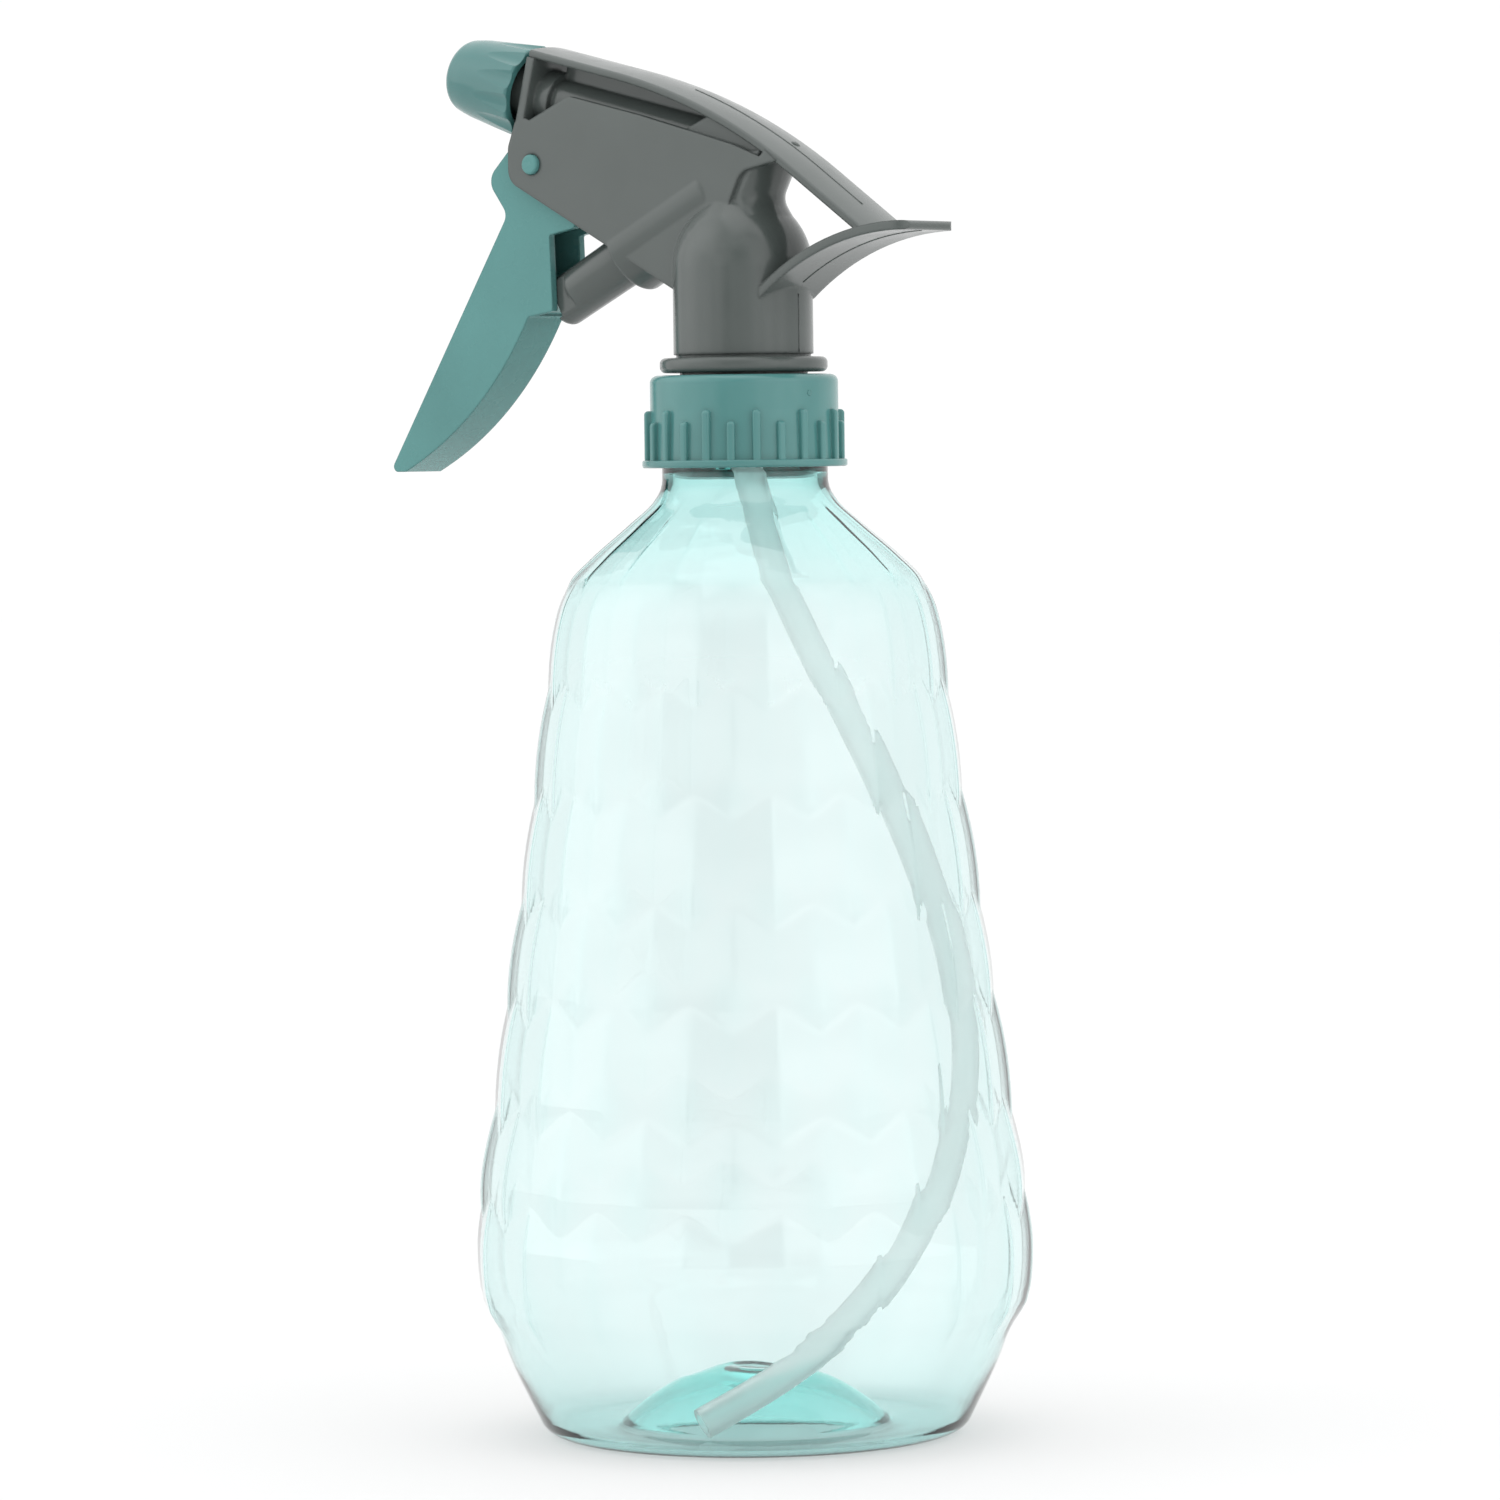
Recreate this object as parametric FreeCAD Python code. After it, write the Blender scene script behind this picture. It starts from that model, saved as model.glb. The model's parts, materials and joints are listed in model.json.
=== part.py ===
import FreeCAD, Part

import math
import os

# Hand mister: a trigger sprayer on a faceted 500 ml bottle. Millimetres, +Z up.
# The origin is on the bottle's axis, on the plane that it stands on.
# The nozzle and trigger point along -X, and the hand rest (spur) points along +X.

Vector = FreeCAD.Vector
UP = Vector(0, 0, 1)
ACROSS = Vector(0, 1, 0)
ORIGIN = Vector(0, 0, 0)

# Bottle
FACETS = 18
FACET_TURN = math.radians(13.8)
ROW_HEIGHTS = [17.5, 36.7, 51.3, 68.3, 83.9, 100.6, 117.6, 134.8]
ROW_RADII = [40.9, 43.1, 41.1, 38.7, 36.3, 34.1, 31.65, 27.2]
BULGE_HEIGHT = 28.8
BULGE_RADIUS = 43.6
HEEL_RADIUS = 33.9
HEEL_HEIGHT = 2.2
STAND_RADIUS = 30.6
PUNT_RADIUS = 20.8
PUNT_HEIGHT = 8.6
SHOULDER_TOP = (14.6, 146.6)
SHOULDER_TOP_INSIDE = (13.6, 145.9)
NECK_BOTTOM = 150.5
NECK_STEP = 153.6
NECK_RADIUS = 13.1
WALL = 0.9
FLOOR = 1.0
RIM_HEIGHT = 163.0
NECK_ROOT_RADIUS = 12.5
NECK_BORE_RADIUS = 10.8

# 28-400 neck thread: crest diameter 27.1, six turns to the inch
NECK_THREAD_RADIUS = 13.5
NECK_THREAD_PITCH = 4.233
NECK_THREAD_TURNS = 1.1
NECK_THREAD_START = 156.3
THREAD_GAP = 0.2

# Closure cap
CAP_BOTTOM = 152.9
CAP_TOP = 167.45
CAP_RADIUS = 14.85
CAP_FLANGE_RADIUS = 16.2
CAP_FLANGE_HEIGHT = 1.2
CAP_RIB_RADIUS = 15.9
CAP_RIB_WIDTH = 1.3
CAP_ROUNDING = 1.2
CAP_RIBS = 24
CAP_TALL_RIB = 161.9
CAP_SHORT_RIB = 160.1
CAP_BORE = 13.7
CAP_ROOF = 1.55
CAP_HOLE = 10.3

# Sprayer body: ring, column and throat
RING_RADIUS = 13.25
RING_BOTTOM = 167.85
RING_TOP = 170.2
COLUMN_RADIUS = 11.05
COLUMN_SHOULDER = 188.8
SHOULDER_ROUNDING = 12.0
THROAT_RADIUS = 6.1
THROAT_HEIGHT = 194.6
THROAT_WAIST_RADIUS = 6.6
THROAT_TOP = 202.4
THROAT_TOP_RADIUS = 9.6
STEM_BORE = 8.5
STEM_BORE_TOP = 180.0
SPIGOT_RADIUS = 10.1
BODY_HALF_WIDTH = 6.2
CHEEK_THICKNESS = 1.5

# Shroud over the head, and the curved spur at its rear end
SHROUD_FRONT = (-38.3, 218.9)
SHROUD_REAR = (27.6, 188.65)
SHROUD_FRONT_SLOPE = 14.0
SHROUD_REAR_SLOPE = 35.7
SHROUD_HALF_WIDTH = 6.0
SHROUD_EDGE = 1.2
SHROUD_CROWN = 0.6
SPUR_RADIUS = 43.0
SPUR_REAR_X = 36.2
SPUR_FRONT_X = 8.9
SPUR_UNDERSIDE = 189.2
SPUR_THICKNESS = 1.45
SPUR_HALF_WIDTH = 7.0

# Nozzle axis: it rises towards the front; NOZZLE_RIM is the middle of the nozzle cap's rear rim
NOZZLE_TILT = 14.0
NOZZLE_RIM = (-41.8, 213.4)
WALL_FRONT = -1.9
WALL_BACK = -3.4
OUTLET_RADIUS = 3.6
OUTLET_BORE = 2.4
OUTLET_REAR = -38.5
OUTLET_SEAT = -33.0
OUTLET_SEAT_BORE = 1.4
BARREL_RADIUS = 4.25
BARREL_END = 11.5
BARREL_THREAD_RADIUS = 4.75
NOZZLE_THREAD_PITCH = 2.5
NOZZLE_THREAD_START = 1.75
NOZZLE_LENGTH = 15.4
NOZZLE_REAR_RADIUS = 7.75
NOZZLE_FRONT_RADIUS = 6.2
NOZZLE_FLUTES = 12
NOZZLE_FLOOR = 13.4

# Outlet valve, its spring and the plug in the barrel
OUTLET_BALL_RADIUS = 1.8
OUTLET_SPRING_RADIUS = 1.6
OUTLET_SPRING_WIRE = 0.3
OUTLET_SPRING_REAR = -29.9
OUTLET_SPRING_COILS = 4
SPRING_STOP_REAR = -22.0
SPRING_STOP_FRONT = -18.5
SWIRL_REAR = 3.0
SWIRL_HEAD = 1.0
SWIRL_SLOTS = 3
BARREL_RING_PLACE = 9.8
BARREL_RING_SECTION = 0.56

# Pump: PUMP_MOUTH is the middle of the cylinder's open end, and the axis rises towards the rear
PUMP_TILT = 27.0
PUMP_MOUTH = (-21.9, 187.0)
CYLINDER_RADIUS = 6.5
CYLINDER_BORE = 5.2
CYLINDER_LENGTH = 22.0
CHAMBER_END = 20.5
PISTON_TIP = -16.9
PISTON_END = 11.0
ROD_TIP_RADIUS = 4.0
ROD_RADIUS = 4.25
PISTON_LAND = 5.0
PISTON_BORE = 2.9
PISTON_FLOOR = -13.0
SEAL_GAP = 0.03
SEAL_GROOVE = 3.7
VENT_GROOVE = (1.6, 3.2)
CUP_GROOVE = (7.0, 9.8)
RETURN_SPRING_RADIUS = 2.25
RETURN_SPRING_WIRE = 0.35
RETURN_SPRING_COILS = 9
# The slot in the piston's end reaches this far above and below the pump axis
SLOT_HIGH = 1.6
SLOT_LOW = 2.8
SLOT_DEPTH = 1.35
# Flats on the sides of the piston's tip let it enter the trigger's channel
TIP_HALF_WIDTH = 2.95
TIP_FLAT_LENGTH = 4.8

# Trigger
PIVOT = (-37.8, 201.7)
PIVOT_RADIUS = 1.6
PIVOT_GAP = 0.06
PIVOT_REACH = 7.0
TRIGGER_HALF_WIDTH = 4.4
TRIGGER_WALL = 1.3
TRIGGER_SKIN = 1.7
PUSH_RIB_RADIUS = 0.8

# Stem connector, its valve and the dip tube
FLANGE_TOP = 165.8
FLANGE_BOTTOM = 164.3
FLANGE_RADIUS = 12.6
SOCKET_BOTTOM = 158.2
SOCKET_RADIUS = 4.6
STEM_TOP = 178.5
STEM_GROOVE = (170.2, 172.0)
STEM_GROOVE_DEPTH = 1.2
STEM_RING_SECTION = 0.57
GASKET_GAP = 0.05
TUBE_RADIUS = 2.55
TUBE_BORE = 1.8
TUBE_TOP = 168.8
BALL_SEAT = 171.5
BALL_RADIUS = 2.1
BALL_SEAT_BORE = 1.3
BALL_CAGE_BORE = 2.7
BALL_GAP = 0.03
RETAINER_BOTTOM = 177.0
RETAINER_HOLES = 4
TUBE_ROUTE = [
    (0.0, 0.0, TUBE_TOP),
    (0.0, 0.0, 157.0),
    (1.6, 1.0, 146.0),
    (4.8, 3.4, 133.0),
    (10.2, 7.4, 119.5),
    (16.2, 11.9, 105.5),
    (21.6, 16.0, 91.0),
    (25.9, 18.8, 76.5),
    (28.0, 19.4, 62.0),
    (27.9, 17.2, 48.5),
    (26.4, 12.4, 36.5),
    (23.2, 4.7, 25.5),
    (18.0, -4.0, 16.0),
    (12.2, -13.7, 9.0),
    (6.6, -22.1, 4.0),
]


def outline(corners):
    """A closed wire in the XZ plane; each corner is (x, z) or (x, z, rounding radius)."""
    count = len(corners)
    edges = []
    starts = []
    ends = []
    middles = []
    for i in range(count):
        here = Vector(corners[i][0], 0, corners[i][1])
        back = Vector(corners[i - 1][0], 0, corners[i - 1][1]) - here
        on = Vector(corners[(i + 1) % count][0], 0, corners[(i + 1) % count][1]) - here
        radius = corners[i][2] if len(corners[i]) > 2 else 0.0
        back.normalize()
        on.normalize()
        half = back.getAngle(on) / 2
        if radius:
            reach = radius / math.tan(half)
            bisector = (back + on).normalize()
            middles.append(here + bisector * (radius / math.sin(half) - radius))
        else:
            reach = 0.0
            middles.append(None)
        starts.append(here + back * reach)
        ends.append(here + on * reach)
    for i in range(count):
        if middles[i] is not None:
            edges.append(Part.Arc(starts[i], middles[i], ends[i]).toShape())
        following = starts[(i + 1) % count]
        if ends[i].distanceToPoint(following) > 1e-6:
            edges.append(Part.LineSegment(ends[i], following).toShape())
    return Part.Wire(edges)


def plate(corners, half_width, side=0.0):
    """A plate in the XZ plane, half_width each way from y = side."""
    face = Part.Face(outline(corners))
    face.translate(Vector(0, side - half_width, 0))
    return face.extrude(Vector(0, 2 * half_width, 0))


def turned(corners):
    """A solid of revolution about Z; corners are (radius, z) or (radius, z, rounding)."""
    return Part.Face(outline(corners)).revolve(ORIGIN, UP, 360)


def rod(radius, low, high):
    """A cylinder on the Z axis from low to high."""
    return Part.makeCylinder(radius, high - low, Vector(0, 0, low))


def aimed(shape, origin_xz, direction):
    """Move a shape built along Z onto an axis through origin_xz that points along direction."""
    placed = shape.copy()
    origin = Vector(origin_xz[0], 0, origin_xz[1])
    move = FreeCAD.Placement(origin, FreeCAD.Rotation(UP, direction))
    placed.Placement = move.multiply(placed.Placement)
    return placed


def on_nozzle(shape):
    """Put a shape on the nozzle axis, its +Z towards the front and its z = 0 at the rim."""
    tilt = math.radians(NOZZLE_TILT)
    return aimed(shape, NOZZLE_RIM, Vector(-math.cos(tilt), 0, math.sin(tilt)))


def on_pump(shape):
    """Put a shape on the pump axis, its +Z into the cylinder and its z = 0 at the mouth."""
    tilt = math.radians(PUMP_TILT)
    return aimed(shape, PUMP_MOUTH, Vector(math.cos(tilt), 0, math.sin(tilt)))


def nozzle_point(along, above):
    """The (x, z) point that far along the nozzle axis from its rim, and that far above it."""
    tilt = math.radians(NOZZLE_TILT)
    x = NOZZLE_RIM[0] - along * math.cos(tilt) + above * math.sin(tilt)
    z = NOZZLE_RIM[1] + along * math.sin(tilt) + above * math.cos(tilt)
    return (x, z)


def thread(radius, depth, pitch, low, turns, inner):
    """A helical ridge of trapezoid section, standing out of radius, or into it when inner."""
    embed = 0.3
    direction = -1.0 if inner else 1.0
    root_half = depth * 0.9
    crest_half = depth * 0.35
    helix = Part.makeHelix(pitch, pitch * turns, radius)
    section = [
        Vector(radius - direction * embed, 0, -root_half),
        Vector(radius + direction * depth, 0, -crest_half),
        Vector(radius + direction * depth, 0, crest_half),
        Vector(radius - direction * embed, 0, root_half),
    ]
    wire = Part.makePolygon(section + [section[0]])
    ridge = Part.Wire(helix).makePipeShell([wire], True, True)
    ridge.translate(Vector(0, 0, low))
    return ridge


def coil(mean_radius, wire_radius, low, high, turns):
    """A compression spring on the Z axis between low and high."""
    length = high - low - 2 * wire_radius
    helix = Part.makeHelix(length / turns, length, mean_radius)
    start = Vector(mean_radius, 0, 0)
    section = Part.Wire(Part.makeCircle(wire_radius, start, ACROSS))
    spring = Part.Wire(helix).makePipeShell([section], True, True)
    spring.translate(Vector(0, 0, low + wire_radius))
    return spring


def facet_row(low, low_radius, high, high_radius, turn):
    """One row of flat facets: a frustum on a regular polygon, turned about Z."""
    wires = []
    for z, radius in ((low, low_radius), (high, high_radius)):
        corner_radius = radius / math.cos(math.pi / FACETS)
        points = []
        for i in range(FACETS + 1):
            angle = 2 * math.pi * i / FACETS + turn
            points.append(Vector(corner_radius * math.cos(angle), corner_radius * math.sin(angle), z))
        wires.append(Part.makePolygon(points))
    return Part.makeLoft(wires, True, True)


def bottle():
    """The faceted bottle: seven rows of facets, a plain base with a punt, and a threaded neck."""
    lower = turned([
        (0, 0), (STAND_RADIUS, 0, 1.5), (HEEL_RADIUS, HEEL_HEIGHT, 3),
        (ROW_RADII[0], ROW_HEIGHTS[0]), (0, ROW_HEIGHTS[0]),
    ])
    upper = turned([
        (0, ROW_HEIGHTS[-1]), (ROW_RADII[-1], ROW_HEIGHTS[-1]), SHOULDER_TOP + (3,),
        (NECK_RADIUS, NECK_BOTTOM), (NECK_RADIUS, NECK_STEP), (NECK_ROOT_RADIUS, NECK_STEP + 0.6),
        (NECK_ROOT_RADIUS, RIM_HEIGHT, 0.5), (0, RIM_HEIGHT),
    ])
    shell = lower.fuse(upper)
    middle_radii = [ROW_RADII[0], BULGE_RADIUS] + ROW_RADII[1:]
    middle_heights = [ROW_HEIGHTS[0], BULGE_HEIGHT] + ROW_HEIGHTS[1:]
    rows = []
    for i in range(len(middle_heights) - 1):
        row = max(i - 1, 0)
        turn = FACET_TURN + math.pi / FACETS * (row % 2)
        rows.append(facet_row(middle_heights[i], middle_radii[i],
                              middle_heights[i + 1], middle_radii[i + 1], turn))
    shell = shell.multiFuse(rows)
    hollow_corners = [(0, FLOOR), (HEEL_RADIUS - 2.2, FLOOR, 3)]
    for z, radius in zip(middle_heights, middle_radii):
        hollow_corners.append((radius - WALL, z))
    hollow_corners += [
        SHOULDER_TOP_INSIDE + (3,), (NECK_BORE_RADIUS, NECK_BOTTOM),
        (NECK_BORE_RADIUS, RIM_HEIGHT + 1), (0, RIM_HEIGHT + 1),
    ]
    shell = shell.cut(turned(hollow_corners))
    dome_radius = (PUNT_RADIUS ** 2 + PUNT_HEIGHT ** 2) / (2 * PUNT_HEIGHT)
    dome = Part.makeSphere(dome_radius + WALL, Vector(0, 0, PUNT_HEIGHT - dome_radius))
    floor = Part.makeBox(100, 100, 20, Vector(-50, -50, 0.5))
    shell = shell.fuse(dome.common(floor))
    shell = shell.cut(Part.makeSphere(dome_radius, Vector(0, 0, PUNT_HEIGHT - dome_radius)))
    ridge = thread(NECK_ROOT_RADIUS, NECK_THREAD_RADIUS - NECK_ROOT_RADIUS, NECK_THREAD_PITCH,
                   NECK_THREAD_START, NECK_THREAD_TURNS, False)
    return shell.fuse(ridge)


def closure_cap():
    """The ribbed screw cap that holds the sprayer down on the neck."""
    shell = turned([
        (0, CAP_BOTTOM), (CAP_FLANGE_RADIUS, CAP_BOTTOM, 0.4),
        (CAP_FLANGE_RADIUS, CAP_BOTTOM + CAP_FLANGE_HEIGHT, 0.3),
        (CAP_RADIUS + 0.2, CAP_BOTTOM + CAP_FLANGE_HEIGHT), (CAP_RADIUS, CAP_TALL_RIB),
        (CAP_RADIUS, CAP_TOP, CAP_ROUNDING), (0, CAP_TOP),
    ])
    ribs = []
    depth = CAP_RIB_RADIUS - CAP_RADIUS
    for i in range(CAP_RIBS):
        top = CAP_TALL_RIB if i % 2 == 0 else CAP_SHORT_RIB
        base = CAP_BOTTOM + CAP_FLANGE_HEIGHT / 2
        rib = plate([(CAP_RADIUS - 0.5, base), (CAP_RIB_RADIUS, base),
                     (CAP_RIB_RADIUS, top, depth * 0.6), (CAP_RADIUS - 0.5, top)], CAP_RIB_WIDTH / 2)
        long_edges = [e for e in rib.Edges if abs(e.BoundBox.XMin - CAP_RIB_RADIUS) < 0.01
                      and e.BoundBox.XLength < 0.01 and e.BoundBox.ZLength > 2]
        rib = rib.makeFillet(0.4, long_edges)
        rib.rotate(ORIGIN, UP, 360 / CAP_RIBS * (i + 1))
        ribs.append(rib)
    shell = shell.multiFuse(ribs)
    bore = rod(CAP_BORE, CAP_BOTTOM - 1, CAP_TOP - CAP_ROOF)
    shell = shell.cut(bore).cut(rod(CAP_HOLE, CAP_TOP - CAP_ROOF - 1, CAP_TOP + 1))
    crest = NECK_ROOT_RADIUS + THREAD_GAP
    ridge = thread(CAP_BORE, CAP_BORE - crest - 0.1, NECK_THREAD_PITCH,
                   NECK_THREAD_START - NECK_THREAD_PITCH / 2, 1.2, True)
    return shell.fuse(ridge)


def neck_gasket():
    """The flat washer between the bottle's rim and the stem connector's flange."""
    washer = rod(NECK_ROOT_RADIUS, RIM_HEIGHT + GASKET_GAP, FLANGE_BOTTOM)
    return washer.cut(rod(NECK_BORE_RADIUS + 0.2, RIM_HEIGHT, FLANGE_BOTTOM + 1))


def stem_connector():
    """The flanged plug pushed up into the column; it carries the dip tube and the ball seat."""
    groove_low, groove_high = STEM_GROOVE
    groove_radius = STEM_BORE - STEM_GROOVE_DEPTH
    plug = turned([
        (0, SOCKET_BOTTOM), (SOCKET_RADIUS - 0.3, SOCKET_BOTTOM, 0.4), (SOCKET_RADIUS, FLANGE_BOTTOM),
        (FLANGE_RADIUS, FLANGE_BOTTOM, 0.3), (FLANGE_RADIUS, FLANGE_TOP, 0.3), (STEM_BORE, FLANGE_TOP),
        (STEM_BORE, groove_low), (groove_radius, groove_low), (groove_radius, groove_high),
        (STEM_BORE, groove_high), (STEM_BORE, STEM_TOP, 0.6), (0, STEM_TOP),
    ])
    plug = plug.cut(rod(TUBE_RADIUS, SOCKET_BOTTOM - 1, TUBE_TOP))
    plug = plug.cut(rod(BALL_SEAT_BORE, SOCKET_BOTTOM - 1, STEM_TOP))
    return plug.cut(rod(BALL_CAGE_BORE, BALL_SEAT, STEM_TOP + 1))


def ring(centre_radius, section_radius, z):
    """A ring of round section about the Z axis."""
    return Part.makeTorus(centre_radius, section_radius, Vector(0, 0, z))


def stem_o_ring():
    """The O-ring that seals the connector's plug in the column."""
    return ring(STEM_BORE - STEM_RING_SECTION - 0.05, STEM_RING_SECTION, sum(STEM_GROOVE) / 2)


def inlet_ball():
    """The ball that rests on the seat above the dip tube."""
    rise = math.sqrt(BALL_RADIUS ** 2 - BALL_SEAT_BORE ** 2)
    return Part.makeSphere(BALL_RADIUS, Vector(0, 0, BALL_SEAT + rise + BALL_GAP))


def inlet_ball_retainer():
    """A perforated disc that stops the ball above its seat."""
    disc = rod(BALL_CAGE_BORE, RETAINER_BOTTOM, STEM_TOP)
    for i in range(RETAINER_HOLES):
        hole = rod(0.55, RETAINER_BOTTOM - 1, STEM_TOP + 1)
        hole.translate(Vector(1.5, 0, 0))
        hole.rotate(ORIGIN, UP, 360 / RETAINER_HOLES * i)
        disc = disc.cut(hole)
    return disc


def tube_path():
    """Straight runs joined by tangent arcs; each radius is as large as its two runs allow."""
    points = [Vector(*p) for p in TUBE_ROUTE]
    edges = []
    last = points[0]
    radii = []
    for i in range(1, len(points) - 1):
        back = points[i - 1] - points[i]
        on = points[i + 1] - points[i]
        reach = 0.45 * min(back.Length, on.Length)
        back.normalize()
        on.normalize()
        half = back.getAngle(on) / 2
        radius = reach * math.tan(half)
        radii.append(radius)
        start = points[i] + back * reach
        end = points[i] + on * reach
        middle = points[i] + (back + on).normalize() * (radius / math.sin(half) - radius)
        edges.append(Part.LineSegment(last, start).toShape())
        edges.append(Part.Arc(start, middle, end).toShape())
        last = end
    edges.append(Part.LineSegment(last, points[-1]).toShape())
    print("dip tube bend radii", [round(r, 1) for r in radii])
    return Part.Wire(edges)


def dip_tube():
    """The soft plastic tube that lies in a curve against the bottle's wall."""
    path = tube_path()
    pipes = []
    for radius in (TUBE_RADIUS, TUBE_BORE):
        section = Part.Wire(Part.makeCircle(radius, Vector(*TUBE_ROUTE[0]), Vector(0, 0, -1)))
        pipes.append(path.makePipeShell([section], True, False))
    tube = pipes[0].cut(pipes[1])
    section_area = math.pi * (TUBE_RADIUS ** 2 - TUBE_BORE ** 2)
    print("dip tube length", round(path.Length, 1), "volume ratio",
          round(tube.Volume / (section_area * path.Length), 4))
    return tube


def shroud_path():
    """The shroud's underside on the centre plane: a straight front, a wide arc, a straight rear."""
    front = Vector(SHROUD_FRONT[0], 0, SHROUD_FRONT[1])
    rear = Vector(SHROUD_REAR[0], 0, SHROUD_REAR[1])
    fall_front = math.tan(math.radians(SHROUD_FRONT_SLOPE))
    fall_rear = math.tan(math.radians(SHROUD_REAR_SLOPE))
    x = (front.z - rear.z + fall_front * front.x - fall_rear * rear.x) / (fall_front - fall_rear)
    corner = Vector(x, 0, front.z - fall_front * (x - front.x))
    reach = 20.0
    back = (front - corner).normalize()
    on = (rear - corner).normalize()
    half = back.getAngle(on) / 2
    radius = reach * math.tan(half)
    start = corner + back * reach
    end = corner + on * reach
    middle = corner + (back + on).normalize() * (radius / math.sin(half) - radius)
    return Part.Wire([
        Part.LineSegment(front, start).toShape(),
        Part.Arc(start, middle, end).toShape(),
        Part.LineSegment(end, rear).toShape(),
    ])


def shroud():
    """The crowned strip that covers the head, swept along its path."""
    path = shroud_path()
    half = SHROUD_HALF_WIDTH
    edge_round = 0.3
    top = SHROUD_EDGE - edge_round
    points = [
        Vector(0, -half + edge_round, 0), Vector(0, half - edge_round, 0),
        Vector(0, half, edge_round), Vector(0, half, top),
        Vector(0, half - edge_round, SHROUD_EDGE),
        Vector(0, -half + edge_round, SHROUD_EDGE), Vector(0, -half, top),
        Vector(0, -half, edge_round),
    ]
    crown = Vector(0, 0, SHROUD_EDGE + SHROUD_CROWN)
    edges = [Part.LineSegment(points[i], points[i + 1]).toShape() for i in range(4)]
    edges.append(Part.Arc(points[4], crown, points[5]).toShape())
    edges += [Part.LineSegment(points[i], points[(i + 1) % 8]).toShape() for i in range(5, 8)]
    face = Part.Face(Part.Wire(edges))
    face.rotate(ORIGIN, ACROSS, SHROUD_FRONT_SLOPE)
    face.translate(Vector(SHROUD_FRONT[0], 0, SHROUD_FRONT[1]))
    return path.makePipe(face)


def spur():
    """The curved plate behind the column that rests on the web of the hand."""
    centre = Vector(SPUR_REAR_X, 0, SPUR_UNDERSIDE - SPUR_RADIUS)
    outer = SPUR_RADIUS + SPUR_THICKNESS
    sweep = math.asin((SPUR_REAR_X - SPUR_FRONT_X) / SPUR_RADIUS)
    mid_radius = SPUR_RADIUS + SPUR_THICKNESS / 2

    def at(radius, angle):
        return centre + Vector(-radius * math.sin(angle), 0, radius * math.cos(angle))

    nose = SPUR_THICKNESS / 2 / mid_radius
    edges = [
        Part.Arc(at(SPUR_RADIUS, 0), at(SPUR_RADIUS, sweep / 2), at(SPUR_RADIUS, sweep)).toShape(),
        Part.Arc(at(SPUR_RADIUS, sweep), at(mid_radius, sweep + nose), at(outer, sweep)).toShape(),
        Part.Arc(at(outer, sweep), at(outer, sweep / 2), at(outer, 0)).toShape(),
        Part.Arc(at(outer, 0), at(mid_radius, -nose), at(SPUR_RADIUS, 0)).toShape(),
    ]
    face = Part.Face(Part.Wire(edges))
    face.translate(Vector(0, -SPUR_HALF_WIDTH, 0))
    solid = face.extrude(Vector(0, 2 * SPUR_HALF_WIDTH, 0))
    corner_radius = 2.5
    plan = Part.makeBox(SPUR_REAR_X - SPUR_FRONT_X + 4, 2 * SPUR_HALF_WIDTH, 60,
                        Vector(SPUR_FRONT_X - 2, -SPUR_HALF_WIDTH, 150))
    rear_edges = [e for e in plan.Edges if e.BoundBox.ZLength > 50
                  and e.BoundBox.XMin > SPUR_REAR_X]
    plan = plan.makeFillet(corner_radius, rear_edges)
    plan.translate(Vector(-1.2, 0, 0))
    return solid.common(plan)


def cheek_outline():
    """Side outline of a cheek, from the front wall to the column, with the slot's edge on top."""
    return [
        nozzle_point(WALL_FRONT, -3.5) + (1.5,), (-42.7, 204.6, 3), (-42.7, 199.2, 3.2),
        (-9.0, 181.0), (2.2, 181.0), (2.2, 194.4, 2.5), (4.6, 199.2, 3), (11.6, 200.6),
        (9.4, 202.4), (8.4, 201.3, 0.6), (3.0, 203.4, 20), (-3.9, 205.4, 20), (-16.0, 208.8, 30),
        (-30.2, 212.3, 0.8), (-38.4, 208.7, 0.8), nozzle_point(WALL_BACK - 0.4, -3.5),
    ]


def column():
    """Ring, domed column and the foot of the throat as one turned shape."""
    return turned([
        (0, FLANGE_TOP + 0.02), (SPIGOT_RADIUS, FLANGE_TOP + 0.02), (SPIGOT_RADIUS, RING_BOTTOM),
        (RING_RADIUS, RING_BOTTOM, 0.9), (RING_RADIUS, RING_TOP, 0.9),
        (COLUMN_RADIUS - 0.4, RING_TOP), (COLUMN_RADIUS - 0.4, RING_TOP + 0.4),
        (COLUMN_RADIUS, RING_TOP + 0.5), (COLUMN_RADIUS, COLUMN_SHOULDER, SHOULDER_ROUNDING),
        (THROAT_RADIUS, THROAT_HEIGHT, 1.0), (THROAT_RADIUS, THROAT_HEIGHT + 1), (0, THROAT_HEIGHT + 1),
    ])


def throat():
    """The flared top of the throat, kept between the cheeks."""
    flare = turned([
        (0, THROAT_HEIGHT - 4), (THROAT_WAIST_RADIUS + 2.4, THROAT_HEIGHT - 4),
        (THROAT_WAIST_RADIUS, THROAT_HEIGHT + 0.4, 3), (THROAT_TOP_RADIUS, THROAT_TOP), (0, THROAT_TOP),
    ])
    half_width = BODY_HALF_WIDTH - CHEEK_THICKNESS / 2
    slab = Part.makeBox(40, 2 * half_width, 20, Vector(-20, -half_width, THROAT_HEIGHT - 5))
    return flare.common(slab)


def shroud_web():
    """The rib on the centre plane that closes the gap between the outlet tube and the shroud."""
    return plate([
        nozzle_point(-6.0, 2.0), nozzle_point(-6.0, 6.3), (-21.3, 215.1), (-12.0, 212.3),
        (-2.7, 208.6), (6.0, 204.2), (9.0, 202.2), (4.0, 202.0), (-6.0, 205.5), (-20.0, 207.0),
    ], 0.7)


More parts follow.
